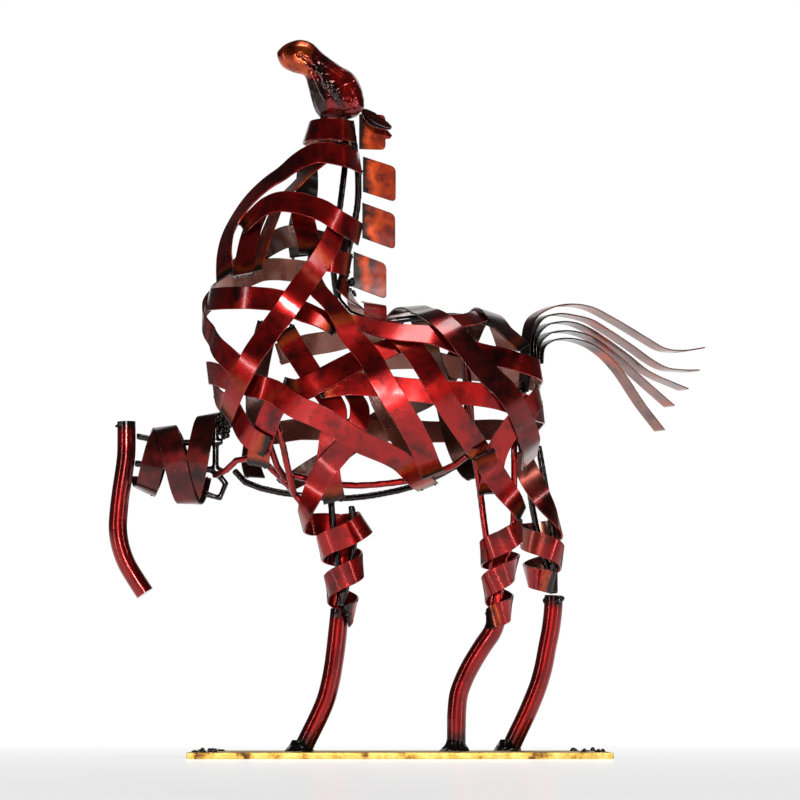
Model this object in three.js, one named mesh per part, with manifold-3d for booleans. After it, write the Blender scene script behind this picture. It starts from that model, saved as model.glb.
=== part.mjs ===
// A rearing horse woven from flat steel strips over bent wires, on a thin brass-coloured plate.
// Millimetres, +Z up. The horse faces -X and its left side is -Y, which is called near below.
// The origin is the centre of the plate's underside.

import * as THREE from "three";
import { mergeVertices } from "three/addons/utils/BufferGeometryUtils.js";
import Module from "manifold-3d";

const wasm = await Module();
wasm.setup();

// Stock that the horse is made of.
const STRIP_WIDE = 12.5;
const STRIP_THICK = 1;
const WIRE = 4;
const BAR = 10;
const SHEET = 1.2;
const GAP = 0.3; // left between pieces that touch

// Base plate.
const PLATE_LONG = 222;
const PLATE_DEEP = 110;
const PLATE_THICK = 3.5;

// How a strip is laid.
const STATION = 7.5; // length of strip between two bends
const WRAP_STATION = 5.4; // the same where a strip winds tightly round a leg
const FINE = 2; // step at which a strip feels for what lies under it
const EASE = 8; // length over which a strip rises to clear another
const REACH = 2.6; // how far off a point still counts as under the strip
const LAYER = 12; // deeper or higher than this, a piece belongs to another side
const SLACK = 0.45; // spare height for the curve between two bends

// Distance of the legs from the middle of the body.
const FORE_SIDE = 23;
const HIND_SIDE = 22;
const RAISED_SIDE = 18;

// Depth of the wires under the strips.
const UNDER = WIRE / 2 + STRIP_THICK;
const DEEP = UNDER + WIRE + 1;

// Length of wire or bar between two bends.
const WIRE_STEP = 9.5;
const BAR_STEP = 10;

// Tail.
const TAIL_WIDE = 9.5;
const TAIL_THICK = 0.8;
const TAIL_ROOT = [72, -4];
const TAIL_BENDS = 12;
const TAIL_SWING = 33; // degrees that the tail swings to the far side

// Mane plates.
const MANE_WIDE = 18;
const MANE_HIGH = 19.5;
const MANE_CORNER = 3;

const RED = { color: 0x8e0f12, roughness: 0.32, metalness: 0.55 };
const UMBER = { color: 0x3a1a14, roughness: 0.45, metalness: 0.5 };
const SOOT = { color: 0x140b0a, roughness: 0.35, metalness: 0.5 };
const EMBER = { color: 0x8a3416, roughness: 0.4, metalness: 0.55 };
const BRASS = { color: 0xb08a3c, roughness: 0.35, metalness: 0.9 };

const horse = new THREE.Group();

function add(name, geometry, paint, parent = horse) {
  const mesh = new THREE.Mesh(geometry, new THREE.MeshStandardMaterial(paint));
  mesh.name = name;
  parent.add(mesh);
  return mesh;
}

// ---- Solids ----

// A closed solid with shared vertices, its faces turned outwards.
function closed(geometry) {
  geometry.deleteAttribute("normal");
  geometry.deleteAttribute("uv");
  const solid = mergeVertices(geometry, 1e-3);
  const corner = [0, 1, 2].map(() => new THREE.Vector3());
  const faces = solid.index.array;
  let volume = 0;
  for (let i = 0; i < faces.length; i += 3) {
    corner.forEach((v, k) => v.fromBufferAttribute(solid.attributes.position, faces[i + k]));
    volume += corner[0].dot(corner[1].cross(corner[2]));
  }
  if (volume < 0) faces.reverse();
  return solid;
}

// A skin over a row of rings with equal counts of points, closed by a fan at each end.
function loft(rings) {
  const count = rings[0].length;
  const faces = [];
  for (let i = 1; i < rings.length; i++) {
    for (let j = 0; j < count; j++) {
      const here = (i - 1) * count;
      const next = (j + 1) % count;
      const [a, b, c, d] = [here + j, here + next, here + count + next, here + count + j];
      if (j < count / 2) faces.push(a, b, d, b, c, d);
      else faces.push(a, b, c, a, c, d); // so that a twisted strip's two skins split alike
    }
  }
  const end = (rings.length - 1) * count;
  for (let j = 1; j < count - 1; j++) {
    faces.push(0, j + 1, j);
    faces.push(end, end + j, end + j + 1);
  }
  const geometry = new THREE.BufferGeometry().setFromPoints(rings.flat());
  return closed(geometry.setIndex(faces));
}

// Pieces welded into one where they meet, and cut off flat at a floor.
function weld(geometries, floor = -Infinity) {
  const solids = geometries.map((geometry) => {
    const solid = closed(geometry);
    const vertProperties = solid.attributes.position.array;
    const triVerts = new Uint32Array(solid.index.array);
    return new wasm.Manifold(new wasm.Mesh({ numProp: 3, vertProperties, triVerts }));
  });
  const joined = solids.reduce((whole, solid) => whole.add(solid));
  const whole = floor > 0 ? joined.trimByPlane([0, 0, 1], floor) : joined;
  const mesh = whole.getMesh();
  const welded = new THREE.BufferGeometry();
  welded.setAttribute("position", new THREE.BufferAttribute(mesh.vertProperties, 3));
  return welded.setIndex(new THREE.BufferAttribute(mesh.triVerts, 1));
}

function circle(diameter, sides) {
  const corners = Array.from({ length: sides }, (_, i) => {
    const turn = (2 * Math.PI * (i + 0.5)) / sides;
    return new THREE.Vector2(Math.cos(turn), Math.sin(turn)).multiplyScalar(diameter / 2);
  });
  return new THREE.Shape(corners);
}

// Round stock bent through the given points.
function bend(points, diameter, sides, step) {
  const extrudePath = new THREE.CatmullRomCurve3(points.map((p) => new THREE.Vector3(...p)));
  const steps = Math.max(2, Math.round(extrudePath.getLength() / step));
  return closed(new THREE.ExtrudeGeometry(circle(diameter, sides), { steps, extrudePath }));
}

const wire = (points) => bend(points, WIRE, 6, WIRE_STEP);

// ---- Forms: the hollow shapes that strips and wires follow ----

// A form is a row of elliptical hoops. Each hoop has two edge points in the side view (x, z)
// and a half width. `side` is where the form's middle stands across the horse. A round-ended
// form closes after its last hoop but one, and a path may run on round that end.
class Form {
  constructor(hoops, side = 0, roundEnd = false) {
    const spline = (points) => new THREE.CatmullRomCurve3(points, false, "catmullrom", 0.5);
    this.last = hoops.length - 1;
    this.side = side;
    this.roundEnd = roundEnd;
    this.first = spline(hoops.map(([[x, z]]) => new THREE.Vector3(x, side, z)));
    this.second = spline(hoops.map(([, [x, z]]) => new THREE.Vector3(x, side, z)));
    this.half = spline(hoops.map(([, , half]) => new THREE.Vector3(half, 0, 0)));
    this.turned = 1;
    const middle = this.point(0.5, 0).add(this.point(0.5, 180)).multiplyScalar(0.5);
    this.turned = Math.sign(this.out(0.5, 90).dot(this.point(0.5, 90).sub(middle)));
  }

  // The point at a hoop and an angle: 0 is the first edge, 90 the near side, 180 the second edge.
  point(at, angle) {
    if (this.roundEnd && at > this.last) return this.point(2 * this.last - at, 360 - angle);
    const t = THREE.MathUtils.clamp(at / this.last, 0, 1);
    const turn = THREE.MathUtils.degToRad(angle);
    const first = this.first.getPoint(t);
    const second = this.second.getPoint(t);
    const point = second.lerp(first, (1 + Math.cos(turn)) / 2);
    const into = this.roundEnd ? Math.max(0, at - this.last + 1) : 0;
    const half = this.half.getPoint(t).x * Math.sqrt(1 - into * into);
    point.y -= half * Math.sin(turn);
    return point;
  }

  // The outward direction there.
  out(at, angle) {
    const along = this.point(at + 0.02, angle).sub(this.point(Math.max(0, at - 0.02), angle));
    const round = this.point(at, angle + 1).sub(this.point(at, angle - 1));
    return along.cross(round).normalize().multiplyScalar(this.turned);
  }

  // Even steps along a path of waypoints [hoop, degrees], each with its point and outward way.
  walk(waypoints, step) {
    const flat = waypoints.map(([at, angle]) => new THREE.Vector3(at * 14, angle * 0.7, 0));
    const route = new THREE.CatmullRomCurve3(flat);
    const samples = Array.from({ length: 601 }, (_, i) => {
      const { x, y } = route.getPoint(i / 600);
      return { at: x / 14, angle: y / 0.7, point: this.point(x / 14, y / 0.7), run: 0 };
    });
    for (let i = 1; i < samples.length; i++) {
      samples[i].run = samples[i - 1].run + samples[i].point.distanceTo(samples[i - 1].point);
    }
    const length = samples.at(-1).run;
    const count = Math.max(2, Math.round(length / step));
    return Array.from({ length: count + 1 }, (_, i) => {
      const sample = samples.find(({ run }) => run >= (length * i) / count - 1e-6);
      return { point: sample.point, out: this.out(sample.at, sample.angle) };
    });
  }
}

// ---- Laying strips and wires on a form ----

const PARTS = [-0.5, -0.25, 0, 0.25, 0.5]; // places across a strip
const laid = []; // what already lies there: points in the middle of the stock, and its half depth

// How far a flat stretch of strip must rise to clear what lies there.
function clearance({ middle, out, across }) {
  const near = laid.filter(({ point }) => point.distanceTo(middle) < LAYER + STRIP_WIDE / 2);
  let rise = 0;
  for (const part of PARTS) {
    const spot = middle.clone().addScaledVector(across, part * STRIP_WIDE);
    for (const { point, half } of near) {
      const way = point.clone().sub(spot);
      const up = way.dot(out);
      if (Math.abs(up) > LAYER || way.lengthSq() - up * up > REACH * REACH) continue;
      rise = Math.max(rise, up + half + STRIP_THICK / 2 + GAP + SLACK);
    }
  }
  return rise;
}

// The heights eased, so that stiff strip bends gently over what it crosses and never dips into it.
function eased(heights) {
  const reach = Math.round(EASE / FINE);
  const spread = (values, radius, blend) =>
    values.map((_, i) => blend(values.slice(Math.max(0, i - radius), i + radius + 1)));
  const mean = (values) => values.reduce((sum, value) => sum + value, 0) / values.length;
  const raised = spread(heights, reach, (values) => Math.max(...values));
  const once = spread(raised, reach / 2, mean);
  return spread(once, reach / 2, mean);
}

// A flat strip laid over a form. `sunk` starts it inside the form, `roll` turns it on edge and
// `station` is the length between its bends.
function strip(name, form, waypoints, paint = RED, { sunk = 0, roll = 0, station = STATION } = {}) {
  const steps = form.walk(waypoints, FINE);
  steps.forEach((step, i) => {
    const before = steps[Math.max(0, i - 1)].point;
    const after = steps[Math.min(steps.length - 1, i + 1)].point;
    step.along = after.clone().sub(before).normalize();
    step.middle = step.point.clone().addScaledVector(step.out, -sunk);
    step.flat = step.out.clone().applyAxisAngle(step.along, THREE.MathUtils.degToRad(roll));
    step.across = step.along.clone().cross(step.flat).normalize();
  });
  const rises = steps.map(clearance);
  eased(rises).forEach((rise, i) => steps[i].middle.addScaledVector(steps[i].out, rise));
  for (const { middle, across } of steps) {
    for (const part of PARTS) {
      const point = middle.clone().addScaledVector(across, part * STRIP_WIDE);
      laid.push({ point, half: STRIP_THICK / 2 });
    }
  }
  const bends = Math.round(((steps.length - 1) * FINE) / station);
  const rings = Array.from({ length: bends + 1 }, (_, i) => {
    const { middle, across, flat } = steps[Math.round((i * (steps.length - 1)) / bends)];
    const corner = (wide, thick) =>
      middle.clone().addScaledVector(across, wide * STRIP_WIDE).addScaledVector(flat, thick);
    const skin = STRIP_THICK / 2;
    return [corner(-0.5, -skin), corner(0.5, -skin), corner(0.5, skin), corner(-0.5, skin)];
  });
  add(name, loft(rings), paint);
}

// Points of a wire that follows a form at some depth inside it. It also counts as laid.
function inside(form, waypoints, depth = UNDER) {
  const points = form.walk(waypoints, FINE).map(({ point, out }) => point.addScaledVector(out, -depth));
  points.forEach((point) => laid.push({ point, half: WIRE / 2 }));
  const kept = points.filter((_, i) => i % 4 === 0 && i < points.length - 3);
  return [...kept, points.at(-1)].map((point) => point.toArray());
}

// ---- The forms ----

// Trunk and neck, from the collar down the neck and back to the dock: crest or back edge,
// throat or belly edge, half width.
const trunk = new Form(
  [
    [[-27, 347], [-47, 345], 10],
    [[-25, 333], [-52, 332], 13],
    [[-23, 318], [-64, 317], 18],
    [[-23, 302], [-80, 300], 23],
    [[-26, 284], [-93, 281], 28],
    [[-30, 268], [-100, 262], 33],
    [[-32, 255], [-105, 242], 37],
    [[-29, 246], [-103, 214], 40],
    [[-21, 241], [-98, 182], 43],
    [[-8, 239], [-89, 148], 45],
    [[7, 241], [-41, 137], 46],
    [[23, 242], [-1, 140], 46],
    [[39, 241], [28, 147], 44],
    [[54, 236], [50, 151], 42],
    [[66, 228], [67, 155], 36],
    [[74, 219], [79, 171], 30],
  ],
  0,
  true,
);

// Legs, from the top down: front edge, back edge, half width.
const foreleg = new Form(
  [
    [[-76, 227], [-47, 227], 12],
    [[-70, 201], [-29, 201], 16],
    [[-62, 184], [-15, 184], 18],
    [[-54, 168], [-18, 168], 17],
    [[-51, 152], [-26, 152], 13],
    [[-48, 129], [-28, 129], 11],
    [[-44, 116], [-22, 116], 10.5],
    [[-40, 97], [-20, 97], 10],
    [[-38, 79], [-24, 79], 7.5],
    [[-39.3, 70], [-26.7, 70], 6.6],
  ],
  -FORE_SIDE,
);
const hindLegNear = new Form(
  [
    [[38, 170], [66, 170], 13],
    [[38, 153], [63, 153], 12],
    [[40, 137], [64, 137], 12],
    [[43, 116], [65, 116], 11.5],
    [[44, 97], [61, 97], 9],
    [[46, 79], [59, 79], 7],
    [[44.5, 71], [57.5, 71], 6.6],
  ],
  -HIND_SIDE,
);
const hindLegFar = new Form(
  [
    [[60, 175], [80, 175], 13],
    [[61, 157], [80, 157], 12],
    [[64, 138], [83, 138], 11.5],
    [[66, 118], [88, 118], 11],
    [[69, 99], [86, 99], 9],
    [[72, 92], [85, 92], 7],
  ],
  HIND_SIDE,
);

// The raised forearm, from the breast to the knee: top edge, bottom edge, half width.
const raisedLeg = new Form(
  [
    [[-96, 187], [-96, 141], 14],
    [[-110, 184], [-110, 140], 13],
    [[-123, 177], [-123, 141], 12],
    [[-137, 175], [-137, 144], 11],
    [[-147, 174], [-147, 149], 8],
  ],
  RAISED_SIDE,
);

// ---- Base plate and the bent bars of the lower legs ----

const plate = new THREE.BoxGeometry(PLATE_LONG, PLATE_DEEP, PLATE_THICK);
add("base_plate", plate.translate(0, 0, PLATE_THICK / 2), BRASS);

// The dark lump of weld that holds a bar down, spread a little forward of it.
function weldFoot(x, y) {
  const lump = new THREE.CylinderGeometry(BAR * 0.55, BAR * 0.8, 6, 12);
  return lump.rotateX(Math.PI / 2).translate(x - 1.5, y, PLATE_THICK + GAP + 3);
}

// A leg bar through side-view points (x, z), welded to the plate at its last point.
function standingBar(name, side, points) {
  const bar = bend(points.map(([x, z]) => [x, side, z]), BAR, 10, BAR_STEP);
  add(name, weld([bar, weldFoot(points.at(-1)[0], side)], PLATE_THICK + GAP), RED);
}

standingBar("near_foreleg_bar", -FORE_SIDE, [
  [-32, 79], [-34, 59], [-36, 45], [-39, 32], [-45, 18], [-52, 5],
]);
standingBar("near_hind_leg_bar", -HIND_SIDE, [
  [52, 77], [50, 69], [43, 58], [36, 46], [31, 33], [30, 20], [30, 5],
]);
standingBar("far_hind_leg_bar", HIND_SIDE, [[84, 88], [83, 74], [80, 58], [77, 44], [71, 28], [60, 5]]);

const raisedBar = [[-150, 183], [-150, 164], [-153, 141], [-154, 122], [-150, 107], [-139, 89]];
add("raised_foreleg_bar", bend(raisedBar.map(([x, z]) => [x, RAISED_SIDE, z]), BAR, 10, BAR_STEP), RED);

// ---- Wires ----

const crest = wire(inside(trunk, [[0, 0], [2, 0], [4, 0], [6.2, 0]], 0));
const innerCrest = wire(inside(trunk, [
  [0.3, 30], [1.1, 34], [2.2, 42], [3.6, 38], [4.5, 34], [5.6, 16], [6.5, -3],
]));
const spine = wire(inside(trunk, [[5.8, 0], [8, 0], [11, 0], [14.2, 2]]));
add("crest_and_spine_wires", weld([crest, innerCrest, spine]), SOOT);
const bellyNear = [[9.55, 146], [10.3, 153], [11, 156], [11.5, 156], [12, 151], [12.3, 141]];
add("near_belly_wire", wire(inside(trunk, bellyNear)), RED);
const bellyFar = [[8.8, 190], [9.3, 184], [9.8, 182], [10.6, 190], [11.3, 200], [11.9, 212], [12.4, 226]];
add("far_belly_wire", wire(inside(trunk, bellyFar)), SOOT);
const hipHoop = [[12.4, -130], [12.2, -90], [11.85, -20], [11.9, 45], [12.2, 90], [12.4, 124]];
add("hip_hoop_wire", wire(inside(trunk, hipHoop, DEEP)), UMBER);

// Wires that tie the raised leg, the breast and the standing foreleg together.
const tie = [
  [-101, 13.4, 153], [-95, 7, 155], [-89, 0, 160], [-81, -6, 161], [-75, -12, 160],
  [-70, -16, 155], [-63, -20, 149], [-56, -22, 140], [-49, -23, 131],
];
const shoulderFront = [[-71, -36, 173], [-66, -28, 156], [-61, -20.5, 148]];
const shoulderBack = [[-67, -38, 180], [-63, -37, 169], [-60, -32, 155], [-57, -23, 142]];
add("shoulder_wires", weld([wire(tie), wire(shoulderFront), wire(shoulderBack)]), RED);

const foreWires = [
  [[-37, -23, 142], [-36, -23, 126], [-33, -23, 103], [-31.5, -23, 80.2]],
  [[-26, -23, 134], [-24, -23, 118], [-27, -23, 100], [-30.5, -23, 80.2]],
];
add("near_foreleg_wires", weld(foreWires.map(wire)), SOOT);
const hindNearWires = [
  [[38, -25, 172], [42, -22, 148], [46, -22, 117], [50, -22, 96], [51.5, -22, 79.2]],
  [[61, -23, 172], [61, -22, 146], [60, -22, 120], [55, -22, 98], [52.5, -22, 79.2]],
];
add("near_hind_leg_wires", weld(hindNearWires.map(wire)), RED);
const hindFarWires = [
  [[66, 24, 172], [70, 22, 152], [74, 22, 128], [80, 22, 105], [83.5, 22, 89]],
  [[76, 22, 170], [81, 22, 140], [84, 22, 118], [84.5, 22, 89]],
];
add("far_hind_leg_wires", weld(hindFarWires.map(wire)), SOOT);
const raisedWires = [
  [[-97, 18, 172], [-132, 18, 172], [-139, 18, 175], [-144.3, 18, 175]],
  [[-97, 18, 156], [-120, 18, 158], [-145.2, 18, 160]],
  [[-101, 18, 184], [-101, 18, 152]],
  [[-101, 18, 156], [-96, 18, 151], [-95.5, 18, 144], [-100, 18, 140.5], [-107, 18, 143.5]],
];
add("raised_foreleg_wires", weld(raisedWires.map(wire)), SOOT);

const legWires = [...foreWires, ...hindNearWires, ...hindFarWires, ...raisedWires];
for (const route of [tie, shoulderFront, shoulderBack, ...legWires]) {
  const curve = new THREE.CatmullRomCurve3(route.map((p) => new THREE.Vector3(...p)));
  const count = Math.round(curve.getLength() / FINE);
  curve.getSpacedPoints(count).forEach((point) => laid.push({ point, half: WIRE / 2 }));
}

// ---- Strips, in the order they are laid ----

// Wraps of the legs, under the strips of the trunk.
const WINDING = { station: WRAP_STATION };
strip("shoulder_strip", foreleg, [[0, 88], [1, 100], [2, 100], [3, 88], [4, 92], [4.7, 112]]);
strip("foreleg_wrap", foreleg, [
  [1.4, 140], [2.4, 128], [3.4, 105], [4.2, 75], [5, 25], [5.2, -20], [5.3, -90], [5.6, -180], [6, -270],
  [6.3, -360], [6.45, -450], [6.7, -540], [7.05, -630], [7.4, -720], [7.7, -810], [8.05, -900], [8.4, -960],
], RED, WINDING);
strip("near_hind_leg_wrap", hindLegNear, [
  [2.8, 200], [2.8, 150], [3.1, 90], [3.4, 0], [3.55, -90], [3.75, -180], [4.1, -270], [4.4, -360],
  [4.65, -450], [4.95, -540], [5.3, -630], [5.65, -690],
], RED, WINDING);
strip("far_hind_leg_wrap", hindLegFar, [
  [0.5, 60], [1.3, 90], [2.1, 130], [2.6, 180], [2.75, 260], [2.85, 340], [3.15, 450], [3.45, 540],
  [3.7, 630],
  [4, 720], [4.3, 810], [4.5, 860],
], RED, WINDING);
strip("forearm_wrap_outer", raisedLeg, [
  [0.5, -25], [0.65, 15], [1, 90], [1.5, 175], [1.9, 270], [2.35, 360], [2.8, 450], [3.2, 535], [3.5, 600],
], RED, WINDING);
strip("forearm_wrap_cross", raisedLeg, [
  [3.2, -150], [2.8, -80], [2.4, 0], [1.9, 90], [1.4, 178], [1, 250],
], RED, WINDING);

const trunkStrips = {
  far_breast_strip: [[6.4, 262], [7.2, 250], [7.9, 239], [8.6, 230], [9.1, 212]],
  withers_strip: [
    [5.8, 25], [6.6, 8], [7.5, -5], [8.4, -18], [9.3, -46], [9.93, -74], [10.56, -97], [11.05, -120],
    [11.5, -145],
  ],
  far_loin_strip: [[10.4, -20], [11, -58], [11.59, -85], [11.93, -110], [12.3, -137], [12.6, -160]],
  flank_strip: [
    [9.15, 86], [9.5, 82], [10.03, 82], [10.74, 86], [11.67, 91], [13.07, 95], [14.22, 100],
    [15, 112], [15.8, 113],
    [16.76, 108], [18.2, 106], [19.3, 100], [20.2, 99], [20.9, 104], [21.4, 122],
  ],
  shoulder_brace_strip: [[8.5, 100], [8.87, 92], [9.15, 79], [9.48, 67], [9.86, 59], [10.3, 50]],
  brisket_strip: [[8.6, 98], [8.75, 111], [8.95, 125], [9.15, 142]],
  breast_cross_strip: [[7.5, 175], [7.76, 159], [8.18, 139], [8.72, 129], [9.1, 126]],
  hip_strip: [
    [8.4, 0], [9, 28], [9.7, 42], [10.55, 61], [11.07, 77], [11.61, 97], [12.1, 115], [12.68, 139],
  ],
  breast_to_belly_strip: [
    [7.6, -110], [7.3, -150], [7.2, -180], [7.32, -204], [7.58, -222], [7.9, -237], [8.61, -258],
    [9.34, -259],
    [9.93, -250], [10.9, -229], [11.35, -206], [11.5, -195],
  ],
  thigh_strip: [[14.6, 90], [14.22, 98], [13.56, 111], [13.05, 132], [12.85, 144], [12.75, 156]],
  saddle_strip: [
    [13.9, -75], [13.3, -35], [12.7, 0], [12, 30], [11.49, 35], [11.02, 31], [10.4, 12], [9.6, -12],
    [8.32, -43], [7.55, -69], [7.3, -95],
  ],
  rump_strip: [
    [8.07, 45], [8.76, 41], [9.8, 48], [10.89, 53], [11.61, 58], [12.37, 64], [13.63, 63],
    [14.31, 65], [15, 64],
    [16.26, 64], [17.2, 65], [18.14, 64], [19.3, 56], [20.2, 55], [20.9, 58],
  ],
  back_strip: [
    [9.46, -147], [9.66, -125], [10.12, -96], [10.63, -86], [11.21, -78], [11.8, -55], [12.2, -20],
    [12.6, 12],
    [13.1, 38], [13.82, 50],
  ],
  croup_strip: [
    [9.5, -30], [9.9, 0], [10.73, 34], [11.35, 49], [11.95, 64], [12.62, 79], [13.26, 92],
    [13.75, 108], [14.0, 125], [14.15, 145], [14.2, 165],
  ],
  chest_band: [
    [8.3, 54], [7.39, 59], [6.88, 69], [6.46, 81], [6.15, 104], [5.97, 129], [5.67, 180], [5.1, 225],
    [4.74, 250], [4.79, 275], [5, 300],
  ],
  barrel_strip: [
    [5.74, 57], [6.51, 50], [7.13, 47], [7.96, 48], [9.33, 60], [10.06, 78], [10.71, 99],
    [11.17, 119], [11.56, 147],
  ],
  breast_curl_strip: [[5.2, -130], [5.7, -160], [6.18, -185], [6.69, -208], [7.17, -226], [7.7, -240]],
  crest_tab_strip: [[4.88, 64], [5.08, 42], [5.1, 15]],
  far_neck_strip: [[4.35, -14], [4.3, -30], [3.95, -66], [3.74, -96], [4.14, -116], [5, -140]],
};
for (const [name, waypoints] of Object.entries(trunkStrips)) strip(name, trunk, waypoints);
strip("hip_to_hock_strip", hindLegNear, [
  [0.5, 66], [1.1, 84], [1.7, 108], [2.15, 135], [2.4, 152],
]);

strip("throat_strip", trunk, [
  [1.5, 30], [1.38, 75], [1.4, 115], [1.45, 160], [1.4, 200], [1.5, 230], [1.9, 245], [2.64, 262],
  [3.58, 271], [4.4, 281],
], SOOT);
strip("neck_inner_strip", trunk, [[3.2, 88], [3.49, 84], [4.21, 72], [4.88, 64]], RED, { sunk: 1 });
strip("neck_brace_strip", trunk, [
  [1.6, 84], [2.04, 94], [2.55, 106], [3, 115], [3.68, 111], [4.46, 109], [5.3, 108],
], EMBER, { roll: 35 });
strip("neck_side_strip", trunk, [[3.5, 132], [4.12, 126], [4.82, 120], [5.5, 115]]);

const neckStrips = {
  neck_diagonal_strip: [
    [3.5, 40], [3.95, 46], [4.7, 51], [5.39, 57], [6.17, 67], [6.78, 81], [7.28, 101], [7.72, 118],
    [8, 134], [8.2, 146],
  ],
  neck_arch_strip: [
    [3.9, 138], [3.7, 133], [3.47, 124], [3.3, 108], [3.36, 89], [3.58, 65], [3.86, 46], [4.04, 18],
  ],
  neck_spiral_strip: [
    [1.74, 13], [1.83, 54], [1.82, 93], [2.08, 111], [2.4, 126], [2.84, 137], [3.36, 145],
    [3.87, 149], [4.36, 148],
    [5, 138], [5.45, 131],
  ],
  collar: [[0.55, 25], [0.5, 90], [0.45, 180], [0.5, 270], [0.55, 335]],
};
for (const [name, waypoints] of Object.entries(neckStrips)) strip(name, trunk, waypoints);

// ---- Mane plates ----

// A plate with its two free corners rounded. Its upper corner at the neck is at (x, z), and its
// edges slope down to the rear while its sides stay upright.
function manePlate(name, x, z, slope, wide = MANE_WIDE) {
  const drop = wide * Math.tan(THREE.MathUtils.degToRad(slope));
  const low = drop + MANE_HIGH;
  const shape = new THREE.Shape();
  shape.moveTo(0, 0);
  shape.lineTo(wide - MANE_CORNER, -drop * (1 - MANE_CORNER / wide));
  shape.quadraticCurveTo(wide, -drop, wide, -drop - MANE_CORNER);
  shape.lineTo(wide, MANE_CORNER - low);
  shape.quadraticCurveTo(wide, -low, wide - MANE_CORNER, -low + (drop * MANE_CORNER) / wide);
  shape.lineTo(0, -MANE_HIGH);
  const solid = new THREE.ExtrudeGeometry(shape, { depth: SHEET, bevelEnabled: false, curveSegments: 4 });
  const mesh = add(name, closed(solid.translate(0, 0, -SHEET / 2)), EMBER);
  mesh.position.set(x, 0, z);
  mesh.rotation.x = Math.PI / 2;
}

manePlate("mane_plate_1", -22.4, 350.6, 2, 14.5);
manePlate("mane_plate_2", -20.3, 327, 18);
manePlate("mane_plate_3", -20.6, 301.5, 20);
manePlate("mane_plate_4", -25.4, 274.5, 21);

// ---- Tail ----

// Nested strips in the tail's own upright plane: distance from the root, height.
const tailCurves = [
  [
    [-3, 197], [-2, 209], [-1, 219], [-1, 227], [0, 233], [4, 239], [13, 244], [27, 247], [42, 246],
    [56, 241], [71, 235], [95, 226], [119, 229],
  ],
  [
    [1, 217], [1, 226], [3, 232], [8, 238], [17, 241], [26, 241], [38, 240], [51, 235], [66, 228],
    [92, 216], [115, 216],
  ],
  [
    [3, 216], [3, 225], [6, 231], [12, 235], [22, 237], [34, 236], [49, 230], [66, 221], [80, 213],
    [107, 205],
  ],
  [
    [5, 214], [5, 222], [8, 227], [15, 231], [25, 232], [37, 231], [51, 225], [65, 216], [80, 206],
    [97, 195],
  ],
  [
    [7, 213], [7, 219], [10, 224], [17, 227], [26, 228], [36, 227], [47, 223], [57, 216], [65, 208],
    [75, 196], [90, 181],
  ],
];
const tail = new THREE.Group();
tail.position.set(TAIL_ROOT[0], TAIL_ROOT[1], 0);
tail.rotation.z = THREE.MathUtils.degToRad(TAIL_SWING);
horse.add(tail);
tailCurves.forEach((points, i) => {
  const curve = new THREE.CatmullRomCurve3(points.map(([x, z]) => new THREE.Vector3(x, 0, z)));
  const rings = Array.from({ length: TAIL_BENDS + 1 }, (_, k) => {
    const along = curve.getTangentAt(k / TAIL_BENDS);
    const up = new THREE.Vector3(-along.z, 0, along.x).multiplyScalar(TAIL_THICK / 2);
    const middle = curve.getPointAt(k / TAIL_BENDS);
    const far = middle.clone().add(new THREE.Vector3(0, TAIL_WIDE, 0));
    return [middle.clone().add(up), far.clone().add(up), far.clone().sub(up), middle.clone().sub(up)];
  });
  add(`tail_strip_${i + 1}`, loft(rings), SOOT, tail);
});

// ---- Head and ears ----

// The skull, from the muzzle to the poll: brow edge, jaw edge, half width.
const skull = new Form([
  [[-67.7, 385], [-67, 381], 3],
  [[-64, 389], [-64.6, 376.8], 5.5],
  [[-59.3, 391.3], [-59.6, 373.9], 7],
  [[-53.8, 392.2], [-54.6, 372.6], 7.2],
  [[-47.8, 390.2], [-52.1, 371.4], 7],
  [[-43.4, 385.7], [-51, 367.6], 7.5],
  [[-37.9, 381.2], [-49.4, 361.5], 8.5],
  [[-31.3, 376.8], [-47.5, 354.5], 9.5],
  [[-25.2, 372.9], [-45, 349.6], 10],
  [[-21.4, 366.2], [-40.5, 347.2], 9],
  [[-19.6, 359.6], [-31.5, 346.8], 7],
  [[-19.6, 354], [-25, 348.6], 4],
]);
const HEAD_SIDES = 12;
const headRings = Array.from({ length: 23 }, (_, i) =>
  Array.from({ length: HEAD_SIDES }, (_, j) => skull.point(i / 2, (360 * j) / HEAD_SIDES)),
);
const stubs = [[[-42, 0, 356], [-42, 0, 341]], [[-33, 0, 356], [-33, 0, 341]]];
add("head", weld([loft(headRings), ...stubs.map(wire)]), RED);

// A dished leaf folded along its middle, from its root to its tip.
function ear(name, side) {
  const lengths = [0, 0.15, 0.35, 0.6, 0.85, 1];
  const root = new THREE.Vector3(-20.5, side * 9, 351.5);
  const tip = new THREE.Vector3(-4.6, side * 13, 340.6);
  const along = tip.clone().sub(root).normalize();
  const up = new THREE.Vector3(0.2, side, 0.35).cross(along).cross(along).negate().normalize();
  const across = along.clone().cross(up);
  const rings = lengths.map((part) => {
    const half = 0.8 + 4.4 * Math.sin(Math.PI * Math.min(1, part * 0.95 + 0.02)) ** 0.8;
    const fold = half * 0.55;
    const spot = root.clone().lerp(tip, part);
    const at = (sideways, high) =>
      spot.clone().addScaledVector(across, sideways).addScaledVector(up, high);
    const right = [at(half, fold), at(half, fold - SHEET)];
    const left = [at(-half, fold - SHEET), at(-half, fold)];
    return [at(0, 0), ...right, at(0, -SHEET), ...left];
  });
  add(name, loft(rings), RED);
}

ear("near_ear", -1);
ear("far_ear", 1);

export default horse;
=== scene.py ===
# A horse woven from flat steel strips over bent wires, lacquered candy red, on a brass-coloured plate.

import math
import random

import bmesh
import bpy
import numpy as np
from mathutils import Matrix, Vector, kdtree, noise


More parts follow.
